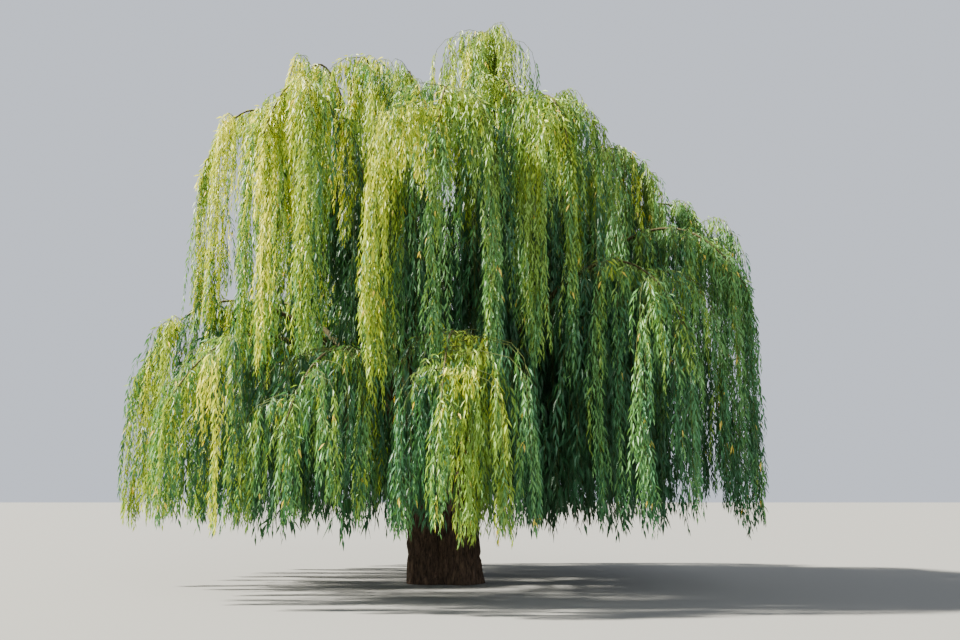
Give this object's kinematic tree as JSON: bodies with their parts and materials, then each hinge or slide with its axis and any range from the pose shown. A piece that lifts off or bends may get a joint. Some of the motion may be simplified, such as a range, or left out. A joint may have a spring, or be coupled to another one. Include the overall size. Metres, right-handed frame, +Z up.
{
  "type": "weeping willow tree",
  "caption": "Mature weeping willow: a broad trunk of two fused stems, arching boughs, and a wide crown of leafy withes that hang in layered curtains to near the ground.",
  "frame": {"origin": "middle of the flat cut under the trunk, at ground level", "axes": "+Z up, -Y towards the side that the picture shows, +X to that side's right"},
  "size_m": [11.8013, 10.9831, 10.3632],
  "materials": {
    "bark": "deeply furrowed reddish-brown bark",
    "young_bark": "smooth olive-brown young bark",
    "leaves": "narrow willow leaves, yellow-green to blue-green, on thin olive twigs"
  },
  "bodies": {
    "root": {"trunk": "bark", "leader_1": "young_bark", "leader_2": "young_bark", "leader_3": "young_bark", "leader_4": "young_bark", "leader_5": "young_bark", "leader_6": "young_bark", "summit_bough_1": "young_bark", "summit_bough_2": "young_bark", "shoulder_bough_1": "young_bark", "shoulder_bough_2": "young_bark", "shoulder_bough_3": "young_bark", "shoulder_bough_4": "young_bark", "shoulder_bough_5": "young_bark", "shoulder_bough_6": "young_bark", "shoulder_bough_7": "young_bark", "shoulder_bough_8": "young_bark", "shoulder_bough_9": "young_bark", "skirt_bough_1": "young_bark", "skirt_bough_2": "young_bark", "skirt_bough_3": "young_bark", "skirt_bough_4": "young_bark", "skirt_bough_5": "young_bark", "skirt_bough_6": "young_bark", "skirt_bough_7": "young_bark", "skirt_bough_8": "young_bark", "skirt_bough_9": "young_bark", "skirt_bough_10": "young_bark", "skirt_bough_11": "young_bark", "skirt_bough_12": "young_bark", "upper_foliage_1": "leaves", "upper_foliage_2": "leaves", "upper_foliage_3": "leaves", "upper_foliage_4": "leaves", "upper_foliage_5": "leaves", "upper_foliage_6": "leaves", "summit_foliage_1": "leaves", "summit_foliage_2": "leaves", "shoulder_foliage_1": "leaves", "shoulder_foliage_2": "leaves", "shoulder_foliage_3": "leaves", "shoulder_foliage_4": "leaves", "shoulder_foliage_5": "leaves", "shoulder_foliage_6": "leaves", "shoulder_foliage_7": "leaves", "shoulder_foliage_8": "leaves", "shoulder_foliage_9": "leaves", "skirt_foliage_1": "leaves", "skirt_foliage_2": "leaves", "skirt_foliage_3": "leaves", "skirt_foliage_4": "leaves", "skirt_foliage_5": "leaves", "skirt_foliage_6": "leaves", "skirt_foliage_7": "leaves", "skirt_foliage_8": "leaves", "skirt_foliage_9": "leaves", "skirt_foliage_10": "leaves", "skirt_foliage_11": "leaves", "skirt_foliage_12": "leaves"}
  },
  "joints": []
}
